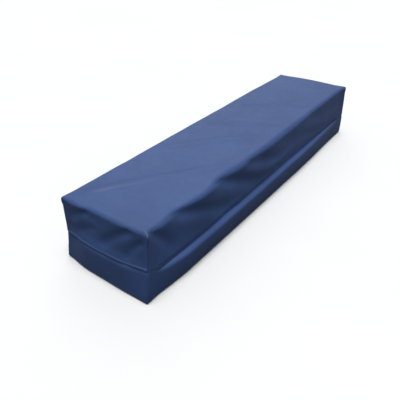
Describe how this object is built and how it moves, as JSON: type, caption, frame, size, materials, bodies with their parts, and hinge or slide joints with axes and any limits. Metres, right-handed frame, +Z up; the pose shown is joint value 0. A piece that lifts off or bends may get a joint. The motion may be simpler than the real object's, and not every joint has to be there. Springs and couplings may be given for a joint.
{
  "type": "floor pommel trainer",
  "caption": "Long rectangular foam block for practising on at floor level, in a loose coated-cloth cover with a lapped seam all round and a zip along its rear side.",
  "frame": {"origin": "middle of the block's base, on the floor", "axes": "+X along the block to its far end, +Y towards the rear side with the zip, +Z up"},
  "size_m": [1.2008, 0.3069, 0.2],
  "materials": {
    "cover_cloth": "satin",
    "base_cloth": "matte",
    "firm_foam": "matte",
    "medium_foam": "matte",
    "soft_foam": "matte",
    "zip_tape": "matte",
    "zip_coil": "gloss",
    "zip_metal": "satin",
    "thread": "satin"
  },
  "bodies": {
    "block": {"upper_cover": "cover_cloth", "front_band": "cover_cloth", "rear_band": "cover_cloth", "near_end_band": "cover_cloth", "far_end_band": "cover_cloth", "base_panel": "base_cloth", "foam_base_layer": "firm_foam", "foam_core_layer": "medium_foam", "foam_top_layer": "soft_foam", "zip_tape_upper": "zip_tape", "zip_tape_lower": "zip_tape", "zip_coil_upper": "zip_coil", "zip_coil_lower": "zip_coil", "zip_top_stops": "zip_metal", "zip_bottom_stop": "zip_metal", "zip_patch_near": "cover_cloth", "zip_patch_far": "cover_cloth", "skirt_stitching": "thread", "zip_stitching_upper": "thread", "zip_stitching_lower": "thread"},
    "slider": {"zip_slider": "zip_metal"},
    "pull_tab": {"zip_pull_tab": "zip_metal"}
  },
  "joints": [
    {"name": "zip_slide", "type": "slide", "parent": "block", "child": "slider", "axis": [1, 0, 0], "range_m": [0, 1.085]},
    {"name": "pull_tab_swing", "type": "hinge", "parent": "slider", "child": "pull_tab", "pos_m": [-0.543, 0.1539, 0.085], "axis": [0, 0, 1], "range_deg": [0, 170]}
  ]
}
